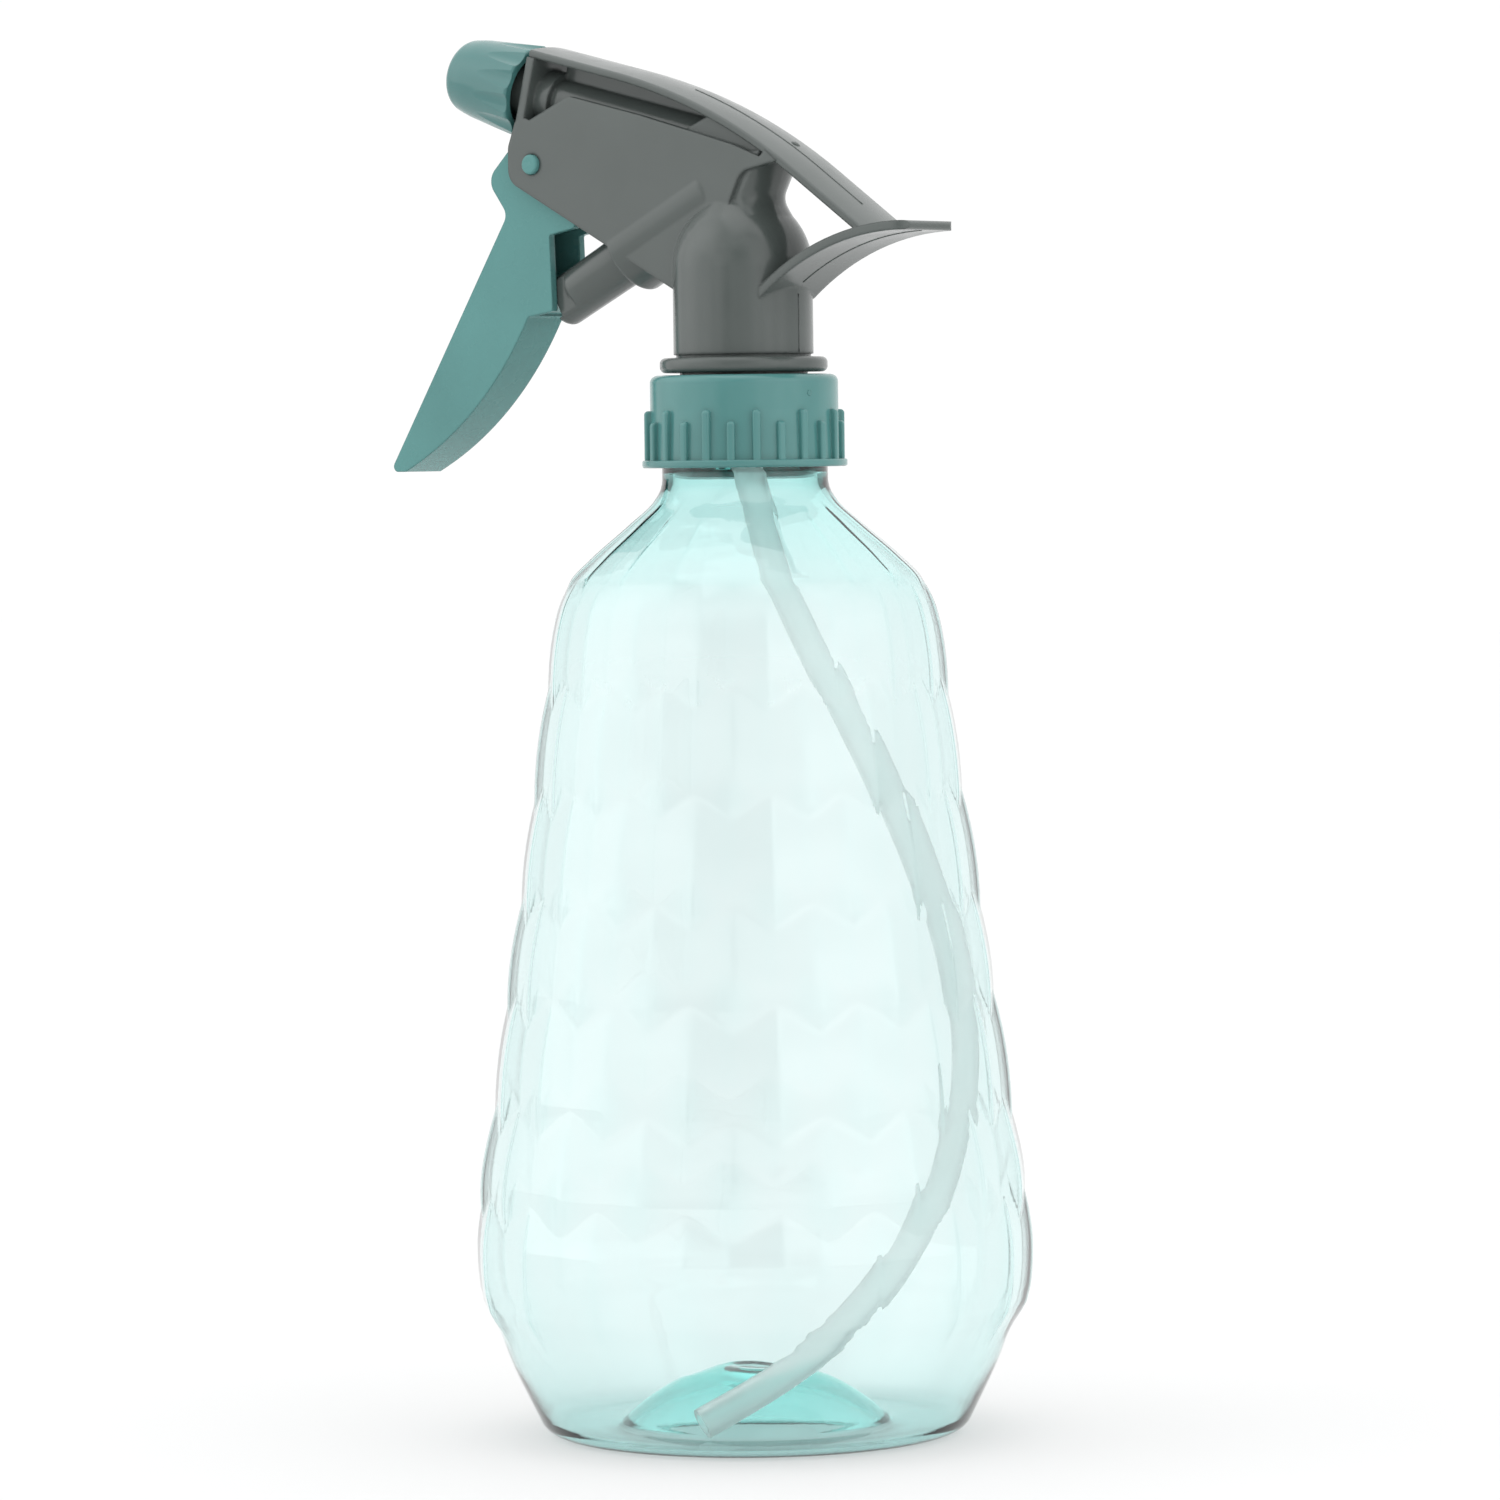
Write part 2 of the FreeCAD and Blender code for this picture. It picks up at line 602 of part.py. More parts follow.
def sprayer_body():
    """The grey moulding: ring, column, cheeks, pump cylinder, outlet barrel, shroud and spur."""
    front_wall = plate([
        nozzle_point(WALL_FRONT, -5), nozzle_point(WALL_BACK, -5),
        nozzle_point(WALL_BACK, 6.2), nozzle_point(WALL_FRONT, 6.2),
    ], BODY_HALF_WIDTH)
    side = BODY_HALF_WIDTH - CHEEK_THICKNESS / 2
    cheeks = [plate(cheek_outline(), CHEEK_THICKNESS / 2, y) for y in (-side, side)]
    web = plate([
        (-12, 184), (2, 184), (2, 195.5), (5.5, 199.3), (10.0, 201.4), (-2, 208.5), (-8, 206), (-12, 196),
    ], BODY_HALF_WIDTH - CHEEK_THICKNESS)
    outlet = on_nozzle(rod(OUTLET_RADIUS, OUTLET_REAR, WALL_BACK).fuse(rod(4.6, -6.2, WALL_BACK)))
    barrel = on_nozzle(rod(BARREL_RADIUS, WALL_BACK, BARREL_END))
    cylinder = on_pump(turned([
        (0, 0), (CYLINDER_RADIUS, 0, 0.4), (CYLINDER_RADIUS, CYLINDER_LENGTH, 1.5),
        (0, CYLINDER_LENGTH),
    ]))
    groove = nozzle_o_ring_groove()
    ridge = on_nozzle(thread(BARREL_RADIUS, BARREL_THREAD_RADIUS - BARREL_RADIUS,
                             NOZZLE_THREAD_PITCH, NOZZLE_THREAD_START, 2.0, False))
    body = column().multiFuse([throat(), front_wall, web, shroud_web(), outlet, barrel, cylinder,
                               shroud(), spur(), ridge] + cheeks)
    # Passages: stem bore, inlet, pump chamber, outlet, and the pivot holes
    body = body.cut(rod(STEM_BORE, 160, STEM_BORE_TOP))
    inlet = rod(1.2, STEM_BORE_TOP - 1, 193.0)
    inlet.translate(Vector(-2.2, 0, 0))
    riser = rod(1.0, 199.3, 204.0)
    riser.translate(Vector(-6.7, 0, 0))
    pivot_hole = Part.makeCylinder(PIVOT_RADIUS + PIVOT_GAP, 20,
                                   Vector(PIVOT[0], -10, PIVOT[1]), ACROSS)
    cuts = [inlet, riser, pivot_hole, groove]
    cuts.append(on_pump(rod(CYLINDER_BORE, -1, CHAMBER_END)))
    cuts.append(on_nozzle(rod(OUTLET_SEAT_BORE, OUTLET_REAR + 1.2, OUTLET_SEAT + 1)))
    cuts.append(on_nozzle(rod(OUTLET_BORE, OUTLET_SEAT, BARREL_END + 1)))
    for tool in cuts:
        body = body.cut(tool)
    return body


def nozzle_o_ring_groove():
    """The groove near the barrel's tip."""
    low, high = BARREL_RING_PLACE - 0.6, BARREL_RING_PLACE + 0.6
    return on_nozzle(rod(BARREL_RADIUS + 1, low, high).cut(rod(BARREL_RADIUS - 0.7, low - 1, high + 1)))


def trigger_outline():
    """Side outline of the trigger, clockwise from the hub's rear top."""
    return [
        (-32.6, 206.0, 3.4), (-43.2, 205.0, 2.2), (-48.6, 199.6, 2.6), (-44.5, 193.9, 2.0),
        (-70.1, 152.7, 0.9), (-66.9, 152.7, 0.4), (-50.1, 161.1, 58), (-40.4, 177.4, 0.6),
        (-35.3, 178.2, 0.5), (-35.8, 190.4, 0.4), (-30.6, 191.4, 0.6), (-29.4, 197.5, 3),
    ]


def trigger():
    """The finger lever: a solid blade whose upper part is a channel open at the rear."""
    solid = plate(trigger_outline(), TRIGGER_HALF_WIDTH)
    inner = TRIGGER_HALF_WIDTH - TRIGGER_WALL
    channel = plate([
        (-45.6 + TRIGGER_SKIN, 199.0, 2), (-42.9, 193.6, 2), (-48.2, 184.6, 1.5), (-40.2, 179.6, 1.0),
        (-37.6, 173.5), (-30.0, 173.5), (-25.0, 199.0),
    ], inner)
    solid = solid.cut(channel)
    hub = Part.makeCylinder(3.4, 2 * TRIGGER_HALF_WIDTH,
                            Vector(PIVOT[0], -TRIGGER_HALF_WIDTH, PIVOT[1]), ACROSS)
    bosses = Part.makeCylinder(PIVOT_RADIUS, 2 * PIVOT_REACH,
                               Vector(PIVOT[0], -PIVOT_REACH, PIVOT[1]), ACROSS)
    ends = [e for e in bosses.Edges if e.BoundBox.YLength < 0.01]
    bosses = bosses.makeFillet(0.4, ends)
    return solid.multiFuse([hub, bosses, push_rib()])


def push_rib():
    """The rounded bar across the trigger that bears in the groove of the piston's end."""
    along = PISTON_TIP + SLOT_DEPTH - PUSH_RIB_RADIUS - 0.1
    width = 2 * TRIGGER_HALF_WIDTH - 0.4
    bar = Part.makeCylinder(PUSH_RIB_RADIUS, width, Vector(0, -width / 2, 0), ACROSS)
    arm = Part.makeBox(12, width, 2 * PUSH_RIB_RADIUS,
                       Vector(-12, -width / 2, -PUSH_RIB_RADIUS))
    bar = bar.fuse(arm)
    # The arm points back along the pump axis, into the trigger's front skin
    bar.rotate(ORIGIN, ACROSS, -PUMP_TILT)
    tilt = math.radians(PUMP_TILT)
    above = 0.6
    bar.translate(Vector(PUMP_MOUTH[0] + along * math.cos(tilt) - above * math.sin(tilt), 0,
                         PUMP_MOUTH[1] + along * math.sin(tilt) + above * math.cos(tilt)))
    keep = plate(trigger_outline(), TRIGGER_HALF_WIDTH)
    return bar.common(keep)


def piston():
    """The hollow pump rod, with a grooved end for the trigger and two seal grooves."""
    vent_low, vent_high = VENT_GROOVE
    cup_low, cup_high = CUP_GROOVE
    body = turned([
        (0, PISTON_TIP), (ROD_TIP_RADIUS, PISTON_TIP, 1.0), (ROD_RADIUS, vent_low - 1.0),
        (PISTON_LAND, vent_low - 0.8), (PISTON_LAND, vent_low), (SEAL_GROOVE, vent_low),
        (SEAL_GROOVE, vent_high), (PISTON_LAND, vent_high), (PISTON_LAND, vent_high + 0.8),
        (ROD_RADIUS, vent_high + 1.2), (ROD_RADIUS, cup_low - 1.0), (PISTON_LAND, cup_low - 0.8),
        (PISTON_LAND, cup_low), (SEAL_GROOVE, cup_low), (SEAL_GROOVE, cup_high),
        (PISTON_LAND - 0.4, cup_high), (PISTON_LAND - 0.4, PISTON_END, 0.4), (0, PISTON_END),
    ])
    body = body.cut(rod(PISTON_BORE, PISTON_FLOOR, PISTON_END + 1))
    for side in (-1, 1):
        flat = Part.makeBox(20, 5, TIP_FLAT_LENGTH, Vector(-10, TIP_HALF_WIDTH, PISTON_TIP))
        flat.rotate(ORIGIN, UP, 90 + 90 * side)
        body = body.cut(flat)
    body = on_pump(body)
    slot = Part.makeBox(SLOT_HIGH + SLOT_LOW, 20, SLOT_DEPTH + 1,
                        Vector(-SLOT_HIGH, -10, PISTON_TIP - 1))
    return body.cut(on_pump(slot))


def seal(groove, lip):
    """A seal ring in a piston groove, narrower by lip at its front end."""
    low, high = groove[0] + 0.05, groove[1] - 0.05
    outer = CYLINDER_BORE - SEAL_GAP
    inner = SEAL_GROOVE + 0.01
    return on_pump(turned([
        (inner, low), (outer - lip, low), (outer, high - 0.6), (outer, high), (outer - 0.5, high),
        (inner + 0.4, high - 0.5), (inner, high - 0.5),
    ]))


def piston_cup_seal():
    return seal(CUP_GROOVE, 0.5)


def piston_vent_seal():
    return seal(VENT_GROOVE, 0.3)


def return_spring():
    """The spring in the hollow piston that pushes it back out."""
    return on_pump(coil(RETURN_SPRING_RADIUS, RETURN_SPRING_WIRE, PISTON_FLOOR + 0.05,
                        CHAMBER_END - 0.02, RETURN_SPRING_COILS))


def outlet_ball():
    """The ball that closes the outlet until the pump drives it forward."""
    rise = math.sqrt(OUTLET_BALL_RADIUS ** 2 - OUTLET_SEAT_BORE ** 2)
    return on_nozzle(Part.makeSphere(OUTLET_BALL_RADIUS, Vector(0, 0, OUTLET_SEAT + rise + BALL_GAP)))


def outlet_spring():
    """The spring that holds the outlet ball on its seat."""
    return on_nozzle(coil(OUTLET_SPRING_RADIUS, OUTLET_SPRING_WIRE, OUTLET_SPRING_REAR,
                          SPRING_STOP_REAR - 0.05, OUTLET_SPRING_COILS))


def outlet_spring_stop():
    """The sleeve pressed into the outlet tube that the outlet spring stands against."""
    stop = rod(OUTLET_BORE, SPRING_STOP_REAR, SPRING_STOP_FRONT)
    return on_nozzle(stop.cut(rod(1.1, SPRING_STOP_REAR - 1, SPRING_STOP_FRONT + 1)))


def swirl_insert():
    """The plug in the barrel's tip: grooved stem, and a head whose slots spin the spray."""
    plug = rod(OUTLET_BORE, SWIRL_REAR, BARREL_END).fuse(rod(3.4, BARREL_END, BARREL_END + SWIRL_HEAD))
    for i in range(SWIRL_SLOTS):
        channel = Part.makeBox(1.2, 0.9, 12, Vector(1.7, -0.45, SWIRL_REAR - 1))
        swirl = Part.makeBox(4, 0.7, 0.6, Vector(0.2, 0.5, BARREL_END + SWIRL_HEAD / 2))
        for tool in (channel, swirl):
            tool.rotate(ORIGIN, UP, 360 / SWIRL_SLOTS * i)
            plug = plug.cut(tool)
    return on_nozzle(plug.cut(rod(0.9, BARREL_END + 0.5, BARREL_END + 2)))


def nozzle_o_ring():
    """The O-ring in the barrel's groove."""
    return on_nozzle(ring(BARREL_RADIUS + 0.11, BARREL_RING_SECTION, BARREL_RING_PLACE))


def nozzle_gasket():
    """The soft washer at the bottom of the nozzle cap, which shuts the nozzle off."""
    washer = rod(BARREL_THREAD_RADIUS + THREAD_GAP - 0.05, NOZZLE_FLOOR - 0.55, NOZZLE_FLOOR - 0.05)
    return on_nozzle(washer.cut(rod(1.2, 10, NOZZLE_FLOOR)))


def nozzle_cap():
    """The tapered, fluted nozzle cap that turns on the barrel's thread."""
    shell = turned([
        (0, 0), (NOZZLE_REAR_RADIUS, 0, 0.4), (NOZZLE_FRONT_RADIUS + 0.2, 11.5, 20),
        (NOZZLE_FRONT_RADIUS - 0.6, NOZZLE_LENGTH, 2.4), (0, NOZZLE_LENGTH),
    ])
    flute_radius = 3.0
    flutes = []
    for i in range(NOZZLE_FLUTES):
        flute = Part.makeCylinder(flute_radius, 14, Vector(0, 0, 0))
        flute.rotate(ORIGIN, ACROSS, -2.0)
        flute.translate(Vector(NOZZLE_REAR_RADIUS + flute_radius - 0.55, 0, -2))
        flute.rotate(ORIGIN, UP, 360 / NOZZLE_FLUTES * (i + 0.5))
        flutes.append(flute)
    for flute in flutes:
        shell = shell.cut(flute)
    wide_bore = rod(6.3, -1, 2.4)
    thread_bore = rod(BARREL_THREAD_RADIUS + THREAD_GAP, 0, NOZZLE_FLOOR)
    orifice = rod(0.45, 10, 20).fuse(Part.makeCone(0.45, 1.6, 1.0, Vector(0, 0, NOZZLE_LENGTH - 1.0)))
    shell = shell.cut(wide_bore).cut(thread_bore).cut(orifice)
    depth = BARREL_THREAD_RADIUS - BARREL_RADIUS - 0.15
    ridge = thread(BARREL_THREAD_RADIUS + THREAD_GAP, depth, NOZZLE_THREAD_PITCH,
                   NOZZLE_THREAD_START + NOZZLE_THREAD_PITCH / 2, 1.0, True)
    return on_nozzle(shell.fuse(ridge))


PIECES = {
    "bottle": bottle,
    "closure_cap": closure_cap,
    "neck_gasket": neck_gasket,
    "stem_connector": stem_connector,
    "stem_o_ring": stem_o_ring,
    "inlet_ball": inlet_ball,
    "inlet_ball_retainer": inlet_ball_retainer,
    "dip_tube": dip_tube,
    "sprayer_body": sprayer_body,
    "trigger": trigger,
    "piston": piston,
    "piston_cup_seal": piston_cup_seal,
    "piston_vent_seal": piston_vent_seal,
    "return_spring": return_spring,
    "outlet_ball": outlet_ball,
    "outlet_spring": outlet_spring,
    "outlet_spring_stop": outlet_spring_stop,
    "swirl_insert": swirl_insert,
    "nozzle_o_ring": nozzle_o_ring,
    "nozzle_gasket": nozzle_gasket,
    "nozzle_cap": nozzle_cap,
}

os.makedirs("parts", exist_ok=True)
for name, make in PIECES.items():
    shape = make()
    print(name, "solids", len(shape.Solids), "valid", shape.isValid(), "volume", round(shape.Volume, 1))
    shape.exportStep("parts/" + name + ".step")
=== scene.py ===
import json
import math

import bpy
import numpy as np
from mathutils import Matrix, Vector
from mathutils.bvhtree import BVHTree


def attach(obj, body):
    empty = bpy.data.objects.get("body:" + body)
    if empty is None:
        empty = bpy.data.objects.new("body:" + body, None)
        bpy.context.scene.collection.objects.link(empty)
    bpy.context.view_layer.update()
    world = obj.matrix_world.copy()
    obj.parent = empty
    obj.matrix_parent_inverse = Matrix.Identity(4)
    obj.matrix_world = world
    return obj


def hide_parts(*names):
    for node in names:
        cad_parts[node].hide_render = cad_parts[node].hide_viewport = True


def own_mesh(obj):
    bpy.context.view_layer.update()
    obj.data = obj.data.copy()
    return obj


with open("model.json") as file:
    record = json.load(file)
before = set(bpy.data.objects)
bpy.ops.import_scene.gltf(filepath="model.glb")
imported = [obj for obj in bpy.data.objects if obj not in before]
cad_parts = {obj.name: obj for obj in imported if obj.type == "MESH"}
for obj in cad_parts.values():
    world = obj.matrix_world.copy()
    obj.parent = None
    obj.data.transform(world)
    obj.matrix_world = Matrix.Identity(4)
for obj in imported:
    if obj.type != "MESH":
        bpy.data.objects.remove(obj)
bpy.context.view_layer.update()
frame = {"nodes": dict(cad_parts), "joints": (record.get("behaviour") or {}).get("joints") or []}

# Hand mister: a trigger sprayer on a faceted PET bottle. The frame is in metres, +Z up, with the
# nozzle and trigger along -X. Lengths named here are in millimetres and are scaled by MM.
MM = 0.001

# Bottle: 18 facets a row, each row turned half a facet from the next
FACETS = 18
HALF_FACET = math.pi / FACETS
FACET_TURN = math.radians(13.8)
ROW_HEIGHTS = [17.5, 36.7, 51.3, 68.3, 83.9, 100.6, 117.6, 134.8]
FACET_CROWN = 0.53
# How widely the ridges between facets are rounded: around the bottle in radians, and between rows
RIDGE_SOFTNESS = 0.012
JOIN_SOFTNESS = 0.03
# Half the height of the lowest row, and how far beyond its own height a row is followed
LOWEST_HALF_HEIGHT = 7.3
ROW_REACH = 2.2
# The lowest row fades in over this much each side of its foot, the highest fades out below and
# above its top, and the shoulder's facets come in there and die away before the neck
FOOT_FADE = 3.5
TOP_FADE_BELOW = 4
TOP_FADE_ABOVE = 1
SHOULDER_FADE = 2.5
SHOULDER_END = (143.5, 148.5)
# Places of the mesh columns within half a facet, closer together beside each ridge
COLUMN_SHARES = (0.0, 0.055, 0.16, 0.33, 0.5, 0.67, 0.84, 0.945)
# Rings of the body: first height, end and step
BODY_RINGS = [(2.2, 14.0, 0.9), (14.0, 137.0, 0.5), (137.0, 153.6, 0.6)]
# Thickness of the wall against height
WALL_THICKNESS = [
    (0, 0.95), (4, 0.7), (12, 0.5), (60, 0.42), (120, 0.43), (130, 0.5), (141, 0.85), (149, 1.2),
    (152, 1.6), (170, 2.0),
]
# The inside of the blown wall repeats the facets this sharply
INNER_FACETS = 0.82
# Apothem of the facets against height, from the heel to the neck
OUTLINE = [
    (2.2, 34.1), (12.5, 38.95), (15.4, 40.0), (17.3, 40.8), (19.2, 41.85), (21.1, 42.7), (23.5, 43.05),
    (29.4, 43.07), (36.7, 42.75), (51.3, 40.53), (68.3, 38.21), (83.9, 35.94), (100.6, 33.56),
    (117.6, 31.31), (126.2, 30.05), (131.0, 29.1), (134.8, 27.9), (138.6, 24.4), (144.3, 17.9),
    (147.6, 14.5), (150.0, 13.25), (151.2, 13.1), (153.6, 13.1),
]
STAND_RADIUS = 29.6
PUNT_RADIUS = 20.8
PUNT_HEIGHT = 8.6
PUNT_WALL = 2.5
PUNT_WALL_LOSS = 1.3
GATE_RADIUS = 4.2
GATE_DEPTH = 0.75
GATE_WALL = 2.6
# (radius, height, thickness) from the edge of the punt across the ring that the bottle stands on
STAND_RING = [
    (PUNT_RADIUS - 0.3, 0.42, 1.15), (PUNT_RADIUS + 0.4, 0.14, 1.1), (PUNT_RADIUS + 1.6, 0.03, 1.05),
    (25.2, 0.0, 1.0), (STAND_RADIUS - 1, 0.0, 0.98),
]
HEEL_CORNER = 3.2
HEEL_LIFT = 0.02
HEEL_WALL = 0.9
HEEL_RINGS = 8
NECK_ROOT_RADIUS = 12.5
NECK_BORE_RADIUS = 10.8
BORE_START = 152.8
NECK_WALL = 1.7
NECK_STEP = (13.1, 153.7, 2.0)
NECK_RINGS = (154.2, 0.5, 0.3)
RIM_HEIGHT = 163.0
# The rim's rounding: how far each ring lies inside the neck and below the rim, and its thickness
RIM_RINGS = [(0.0, 0.45, NECK_WALL), (0.15, 0.12, 1.55), (0.5, 0.0, 1.2)]
THREAD_PITCH = 4.233
THREAD_START = 156.3
THREAD_DEPTH = 1.0
THREAD_TURNS = 1.1
THREAD_CREST = 0.35
THREAD_FLANK = 0.55
THREAD_RUN_OUT = 0.04

# Mould marks
PARTING_RADIUS = 0.16
PARTING_SINK = 0.06
GATE_SIDES = 20
# (reach, height) of a gate's stub, as shares of its radius
GATE_PROFILE = [(1.25, -0.10), (1.05, 0.06), (0.85, 0.24), (0.60, 0.30), (0.35, 0.22), (0.15, 0.18)]
CAP_GATE_TURN = math.radians(43.3)
CAP_GATE_HEIGHT = 164.4
CAP_GATE_RADIUS = 0.42
SHROUD_GATE_RADIUS = 0.7
# Heights and reaches outside the object from which rays are cast down, up and inwards at it
ABOVE = 240
BELOW = 172
OUTSIDE = 30

# Camera
CAMERA_AZIMUTH = math.radians(38)
CAMERA_DISTANCE = 1.1
CAMERA_HEIGHT = 0.156
CAMERA_AIM_HEIGHT = 0.1082
CAMERA_ROLL = math.radians(-0.7)
CAMERA_SIDE = 0.25 * MM
CAMERA_LENS = 167.1
CAMERA_SENSOR = 36
CAMERA_CLIP = 0.05

# Brightness of the white surround behind the object. In front of it the surround is darker and
# patchy, from SURROUND_FRONT to SURROUND_PATCHES, so that each facet reflects its own tone.
SURROUND_BACK = 1.02
SURROUND_FRONT = 0.28
SURROUND_PATCHES = 0.75
BACK_LIFT = 0.25
BACK_SPREAD = (-0.55, 0.45)
PATCH_SCALE = 3.2
PATCH_DETAIL = 1.0
PATCH_RANGE = (0.36, 0.64)
# The soft glow of the large diffusers (turn from the camera, height) and of the ceiling
DIFFUSER_GLOW = 0.9
DIFFUSER_PLACES = [(-74, 14), (50, 14)]
DIFFUSER_SPREAD = (0.66, 0.98)
CEILING_GLOW = 0.45
CEILING_SPREAD = (0.2, 1.0)
PANEL_PLACE = (10, 78)
PANEL_DISTANCE = 0.9
PANEL_SIZE = 0.8
PANEL_POWER = 1.2
PANEL_AIM_HEIGHT = 0.13
# The floor is pale and faintly lit from below; it lies just under the object
FLOOR_WHITE = (0.42, 0.42, 0.42)
FLOOR_BACKLIGHT = 0.455
FLOOR_REACH = 4.0
FLOOR_DROP = 0.0001

# The pump's and the nozzle's axes, as the record gives them
joints = {joint["name"]: joint for joint in frame["joints"]}
pump_axis = Vector(joints["piston_slide"]["axis"]).normalized()
nozzle_axis = Vector(joints["nozzle_turn"]["axis"]).normalized()
nozzle_rim = Vector(joints["nozzle_turn"]["pos_m"])
PUMP_MOUTH = Vector((-21.9, 0, 187.0)) * MM


# ---------------------------------------------------------------- materials

class Shader:
    """A node material with one Principled shader, and short calls that add nodes to it."""

    def __init__(self, name):
        self.material = bpy.data.materials.new(name)
        self.material.use_nodes = True
        self.tree = self.material.node_tree
        self.principled = self.tree.nodes["Principled BSDF"]
        self.output = self.tree.nodes["Material Output"]
        self.place = self.add("ShaderNodeTexCoord").outputs["Object"]

    def add(self, kind, **settings):
        node = self.tree.nodes.new(kind)
        for key, value in settings.items():
            setattr(node, key, value)
        return node

    def link(self, source, target):
        self.tree.links.new(source, target)

    def set(self, **values):
        for key, value in values.items():
            self.principled.inputs[key.replace("_", " ")].default_value = value

    def noise(self, scale, detail=3.0, roughness=0.5):
        node = self.add("ShaderNodeTexNoise")
        self.link(self.place, node.inputs["Vector"])
        node.inputs["Scale"].default_value = scale
        node.inputs["Detail"].default_value = detail
        node.inputs["Roughness"].default_value = roughness
        return node.outputs["Fac"]

    def remap(self, value, low, high, start=0.3, end=0.7):
        node = self.add("ShaderNodeMapRange")
        self.link(value, node.inputs["Value"])
        node.inputs["From Min"].default_value = start
        node.inputs["From Max"].default_value = end
        node.inputs["To Min"].default_value = low
        node.inputs["To Max"].default_value = high
        return node.outputs["Result"]

    def mix(self, factor, first, second):
        node = self.add("ShaderNodeMix", data_type="RGBA")
        self.link(factor, node.inputs[0])
        for socket, value in ((node.inputs[6], first), (node.inputs[7], second)):
            if isinstance(value, bpy.types.NodeSocket):
                self.link(value, socket)
            else:
                socket.default_value = (*value, 1)
        return node.outputs[2]

    def bump(self, height, strength, distance, normal=None):
        node = self.add("ShaderNodeBump")
        self.link(height, node.inputs["Height"])
        node.inputs["Strength"].default_value = strength
        node.inputs["Distance"].default_value = distance
        if normal is not None:
            self.link(normal, node.inputs["Normal"])
        return node.outputs["Normal"]

    def rounded(self, radius):
        """The normal as if sharp edges were rounded to radius."""
        node = self.add("ShaderNodeBevel", samples=4)
        node.inputs["Radius"].default_value = radius
        return node.outputs["Normal"]


def scaled(colour, factor):
    return tuple(min(1.0, channel * factor) for channel in colour)


def moulded_plastic(name, colour, roughness, edge=0.25 * MM, shine=0.5):
    """Injection-moulded polypropylene: faint flow mottling, fine grain and uneven gloss."""
    shader = Shader(name)
    flow = shader.remap(shader.noise(scale=55, detail=4), 0, 1)
    tone = shader.mix(flow, scaled(colour, 0.93), scaled(colour, 1.06))
    shader.link(tone, shader.principled.inputs["Base Color"])
    gloss = shader.remap(shader.noise(scale=260, detail=3), roughness - 0.04, roughness + 0.05)
    shader.link(gloss, shader.principled.inputs["Roughness"])
    grain = shader.bump(shader.noise(scale=2600, detail=2), strength=0.02, distance=0.02 * MM,
                        normal=shader.rounded(edge))
    ripple = shader.bump(shader.noise(scale=140, detail=2), strength=0.05, distance=0.12 * MM,
                         normal=grain)
    shader.link(ripple, shader.principled.inputs["Normal"])
    shader.set(IOR=1.52, Specular_IOR_Level=shine)
    return shader.material


def natural_plastic(name, colour, roughness):
    """Unpigmented polypropylene, slightly translucent."""
    shader = Shader(name)
    tone = shader.mix(shader.remap(shader.noise(scale=90), 0, 1), scaled(colour, 0.95), colour)
    shader.link(tone, shader.principled.inputs["Base Color"])
    grain = shader.bump(shader.noise(scale=1800, detail=2), strength=0.12, distance=0.02 * MM,
                        normal=shader.rounded(0.15 * MM))
    shader.link(grain, shader.principled.inputs["Normal"])
    shader.set(Roughness=roughness, IOR=1.49, Subsurface_Weight=0.15)
    shader.principled.inputs["Subsurface Radius"].default_value = (1.5 * MM, 1.5 * MM, 1.5 * MM)
    return shader.material


def soft_rubber():
    """Pale elastomer of the seals: matt, with a dusty sheen."""
    shader = Shader("seal_rubber_moulded")
    dust = shader.remap(shader.noise(scale=420, detail=5), 0, 1)
    shader.link(shader.mix(dust, (0.46, 0.46, 0.44), (0.56, 0.56, 0.53)),
                shader.principled.inputs["Base Color"])
    grain = shader.bump(shader.noise(scale=3000, detail=3), strength=0.25, distance=0.03 * MM)
    shader.link(grain, shader.principled.inputs["Normal"])
    shader.set(Roughness=0.62, IOR=1.45, Sheen_Weight=0.15)
    return shader.material


def drawn_steel(name, roughness, stretch):
    """Stainless steel with fine drawing lines."""
    shader = Shader(name)
    mapping = shader.add("ShaderNodeMapping")
    shader.link(shader.place, mapping.inputs["Vector"])
    mapping.inputs["Scale"].default_value = stretch
    lines = shader.add("ShaderNodeTexNoise")
    shader.link(mapping.outputs["Vector"], lines.inputs["Vector"])
    lines.inputs["Scale"].default_value = 900
    shader.link(shader.remap(lines.outputs["Fac"], roughness - 0.06, roughness + 0.08),
                shader.principled.inputs["Roughness"])
    shader.link(shader.mix(lines.outputs["Fac"], (0.50, 0.51, 0.52), (0.66, 0.66, 0.65)),
                shader.principled.inputs["Base Color"])
    shader.set(Metallic=1.0)
    return shader.material


def milky_tube():
    """Milky polyethylene tube; its faint emission stands for light scattered within the wall."""
    shader = Shader("dip_tube_polyethylene")
    cloud = shader.remap(shader.noise(scale=160, detail=4), 0, 1)
    shader.link(shader.mix(cloud, (0.95, 0.98, 0.975), (0.98, 0.995, 0.99)),
                shader.principled.inputs["Base Color"])
    waves = shader.bump(shader.noise(scale=700, detail=3), strength=0.10, distance=0.05 * MM)
    shader.link(waves, shader.principled.inputs["Normal"])
    shader.set(Roughness=0.30, IOR=1.40, Transmission_Weight=0.85, Emission_Strength=0.05)
    shader.principled.inputs["Emission Color"].default_value = (0.88, 1.0, 0.98, 1)
    return shader.material


